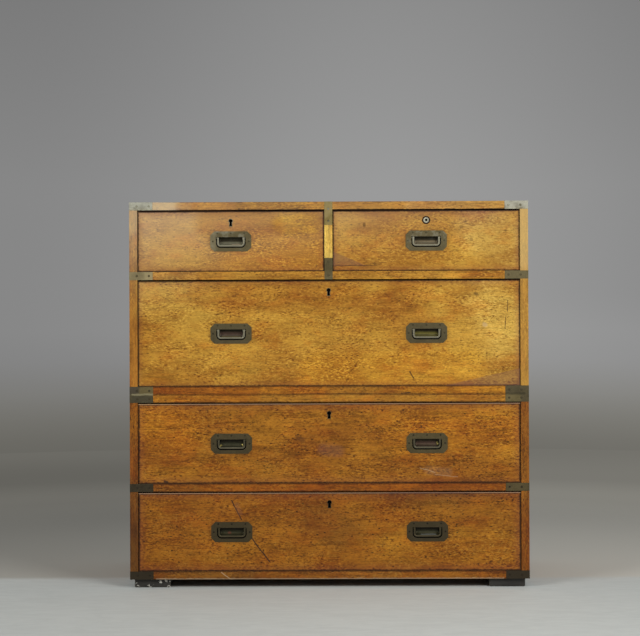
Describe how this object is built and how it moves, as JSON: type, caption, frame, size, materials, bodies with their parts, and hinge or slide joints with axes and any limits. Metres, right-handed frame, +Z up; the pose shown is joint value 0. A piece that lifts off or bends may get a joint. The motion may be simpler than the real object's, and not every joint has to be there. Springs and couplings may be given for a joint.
{
  "type": "campaign chest",
  "caption": "Two-part chest of drawers with flush brass pulls, brass corner straps, drawer locks, side carrying handles and low block feet.",
  "frame": {"origin": "middle of the chest's outline on the floor, under the feet", "axes": "+Z up, -Y is the drawer side, +X is the viewer's right"},
  "size_m": [0.9906, 0.4576, 0.9573],
  "materials": {
    "show_wood": "golden brown hardwood with an old waxed polish",
    "lining_wood": "plain unpolished drawer lining wood",
    "brass": "tarnished olive brown brass",
    "bail_brass": "tarnished brass with rubbed edges",
    "lock_brass": "dull brass",
    "lock_steel": "plain steel",
    "black_foot": "worn black paint on wood"
  },
  "bodies": {
    "lower_case": {"lower_top": "show_wood", "lower_sides": "show_wood", "lower_bottom": "show_wood", "lower_back_boards": "lining_wood", "lower_rail": "show_wood", "lower_runners": "lining_wood", "lower_brasses": "brass", "lower_carry_pans": "brass", "feet": "black_foot"},
    "upper_case": {"upper_top": "show_wood", "upper_sides": "show_wood", "upper_bottom": "show_wood", "upper_back_boards": "lining_wood", "upper_rail": "show_wood", "upper_runners": "lining_wood", "upper_brasses": "brass", "upper_carry_pans": "brass", "upper_partition": "show_wood"},
    "short_left_drawer": {"short_left_drawer_front": "show_wood", "short_left_drawer_box": "lining_wood", "short_left_drawer_bottom": "lining_wood", "short_left_drawer_pan": "brass", "short_left_drawer_lock": "lock_brass"},
    "short_left_bolt": {"short_left_drawer_bolt": "lock_steel"},
    "short_left_bail": {"short_left_bail": "bail_brass"},
    "short_right_drawer": {"short_right_drawer_front": "show_wood", "short_right_drawer_box": "lining_wood", "short_right_drawer_bottom": "lining_wood", "short_right_drawer_pan": "brass", "short_right_drawer_lock": "lock_brass"},
    "short_right_bolt": {"short_right_drawer_bolt": "lock_steel"},
    "short_right_bail": {"short_right_bail": "bail_brass"},
    "deep_drawer": {"deep_drawer_front": "show_wood", "deep_drawer_box": "lining_wood", "deep_drawer_bottom": "lining_wood", "deep_drawer_pans": "brass", "deep_drawer_lock": "lock_brass"},
    "deep_bolt": {"deep_drawer_bolt": "lock_steel"},
    "deep_left_bail": {"deep_left_bail": "bail_brass"},
    "deep_right_bail": {"deep_right_bail": "bail_brass"},
    "third_drawer": {"third_drawer_front": "show_wood", "third_drawer_box": "lining_wood", "third_drawer_bottom": "lining_wood", "third_drawer_pans": "brass", "third_drawer_lock": "lock_brass"},
    "third_bolt": {"third_drawer_bolt": "lock_steel"},
    "third_left_bail": {"third_left_bail": "bail_brass"},
    "third_right_bail": {"third_right_bail": "bail_brass"},
    "bottom_drawer": {"bottom_drawer_front": "show_wood", "bottom_drawer_box": "lining_wood", "bottom_drawer_bottom": "lining_wood", "bottom_drawer_pans": "brass", "bottom_drawer_lock": "lock_brass"},
    "bottom_bolt": {"bottom_drawer_bolt": "lock_steel"},
    "bottom_left_bail": {"bottom_left_bail": "bail_brass"},
    "bottom_right_bail": {"bottom_right_bail": "bail_brass"},
    "upper_left_carry_bail": {"upper_left_carry_bail": "bail_brass"},
    "upper_right_carry_bail": {"upper_right_carry_bail": "bail_brass"},
    "lower_left_carry_bail": {"lower_left_carry_bail": "bail_brass"},
    "lower_right_carry_bail": {"lower_right_carry_bail": "bail_brass"}
  },
  "joints": [
    {"name": "upper_case_lift", "type": "slide", "parent": "lower_case", "child": "upper_case", "axis": [0, 0, 1], "range_m": [0, 0.12]},
    {"name": "short_left_drawer_slide", "type": "slide", "parent": "upper_case", "child": "short_left_drawer", "axis": [0, -1, 0], "range_m": [0, 0.33]},
    {"name": "short_left_bolt_throw", "type": "slide", "parent": "short_left_drawer", "child": "short_left_bolt", "axis": [0, 0, 1], "range_m": [0, 0.008]},
    {"name": "short_left_bail_swing", "type": "hinge", "parent": "short_left_drawer", "child": "short_left_bail", "pos_m": [-0.2425, -0.2261, 0.86715], "axis": [-1, 0, 0], "range_deg": [0, 90]},
    {"name": "short_right_drawer_slide", "type": "slide", "parent": "upper_case", "child": "short_right_drawer", "axis": [0, -1, 0], "range_m": [0, 0.33]},
    {"name": "short_right_bolt_throw", "type": "slide", "parent": "short_right_drawer", "child": "short_right_bolt", "axis": [0, 0, 1], "range_m": [0, 0.008]},
    {"name": "short_right_bail_swing", "type": "hinge", "parent": "short_right_drawer", "child": "short_right_bail", "pos_m": [0.2425, -0.2261, 0.86715], "axis": [-1, 0, 0], "range_deg": [0, 90]},
    {"name": "deep_drawer_slide", "type": "slide", "parent": "upper_case", "child": "deep_drawer", "axis": [0, -1, 0], "range_m": [0, 0.33]},
    {"name": "deep_bolt_throw", "type": "slide", "parent": "deep_drawer", "child": "deep_bolt", "axis": [0, 0, 1], "range_m": [0, 0.008]},
    {"name": "deep_left_bail_swing", "type": "hinge", "parent": "deep_drawer", "child": "deep_left_bail", "pos_m": [-0.2425, -0.2261, 0.63815], "axis": [-1, 0, 0], "range_deg": [0, 90]},
    {"name": "deep_right_bail_swing", "type": "hinge", "parent": "deep_drawer", "child": "deep_right_bail", "pos_m": [0.2425, -0.2261, 0.63815], "axis": [-1, 0, 0], "range_deg": [0, 90]},
    {"name": "third_drawer_slide", "type": "slide", "parent": "lower_case", "child": "third_drawer", "axis": [0, -1, 0], "range_m": [0, 0.33]},
    {"name": "third_bolt_throw", "type": "slide", "parent": "third_drawer", "child": "third_bolt", "axis": [0, 0, 1], "range_m": [0, 0.008]},
    {"name": "third_left_bail_swing", "type": "hinge", "parent": "third_drawer", "child": "third_left_bail", "pos_m": [-0.2425, -0.2261, 0.36515], "axis": [-1, 0, 0], "range_deg": [0, 90]},
    {"name": "third_right_bail_swing", "type": "hinge", "parent": "third_drawer", "child": "third_right_bail", "pos_m": [0.2425, -0.2261, 0.36515], "axis": [-1, 0, 0], "range_deg": [0, 90]},
    {"name": "bottom_drawer_slide", "type": "slide", "parent": "lower_case", "child": "bottom_drawer", "axis": [0, -1, 0], "range_m": [0, 0.33]},
    {"name": "bottom_bolt_throw", "type": "slide", "parent": "bottom_drawer", "child": "bottom_bolt", "axis": [0, 0, 1], "range_m": [0, 0.008]},
    {"name": "bottom_left_bail_swing", "type": "hinge", "parent": "bottom_drawer", "child": "bottom_left_bail", "pos_m": [-0.2425, -0.2261, 0.14615], "axis": [-1, 0, 0], "range_deg": [0, 90]},
    {"name": "bottom_right_bail_swing", "type": "hinge", "parent": "bottom_drawer", "child": "bottom_right_bail", "pos_m": [0.2425, -0.2261, 0.14615], "axis": [-1, 0, 0], "range_deg": [0, 90]},
    {"name": "upper_left_carry_bail_swing", "type": "hinge", "parent": "upper_case", "child": "upper_left_carry_bail", "pos_m": [-0.492, 0, 0.8188], "axis": [0, 1, 0], "range_deg": [0, 90]},
    {"name": "upper_right_carry_bail_swing", "type": "hinge", "parent": "upper_case", "child": "upper_right_carry_bail", "pos_m": [0.492, 0, 0.8188], "axis": [0, -1, 0], "range_deg": [0, 90]},
    {"name": "lower_left_carry_bail_swing", "type": "hinge", "parent": "lower_case", "child": "lower_left_carry_bail", "pos_m": [-0.492, 0, 0.3408], "axis": [0, 1, 0], "range_deg": [0, 90]},
    {"name": "lower_right_carry_bail_swing", "type": "hinge", "parent": "lower_case", "child": "lower_right_carry_bail", "pos_m": [0.492, 0, 0.3408], "axis": [0, -1, 0], "range_deg": [0, 90]}
  ]
}
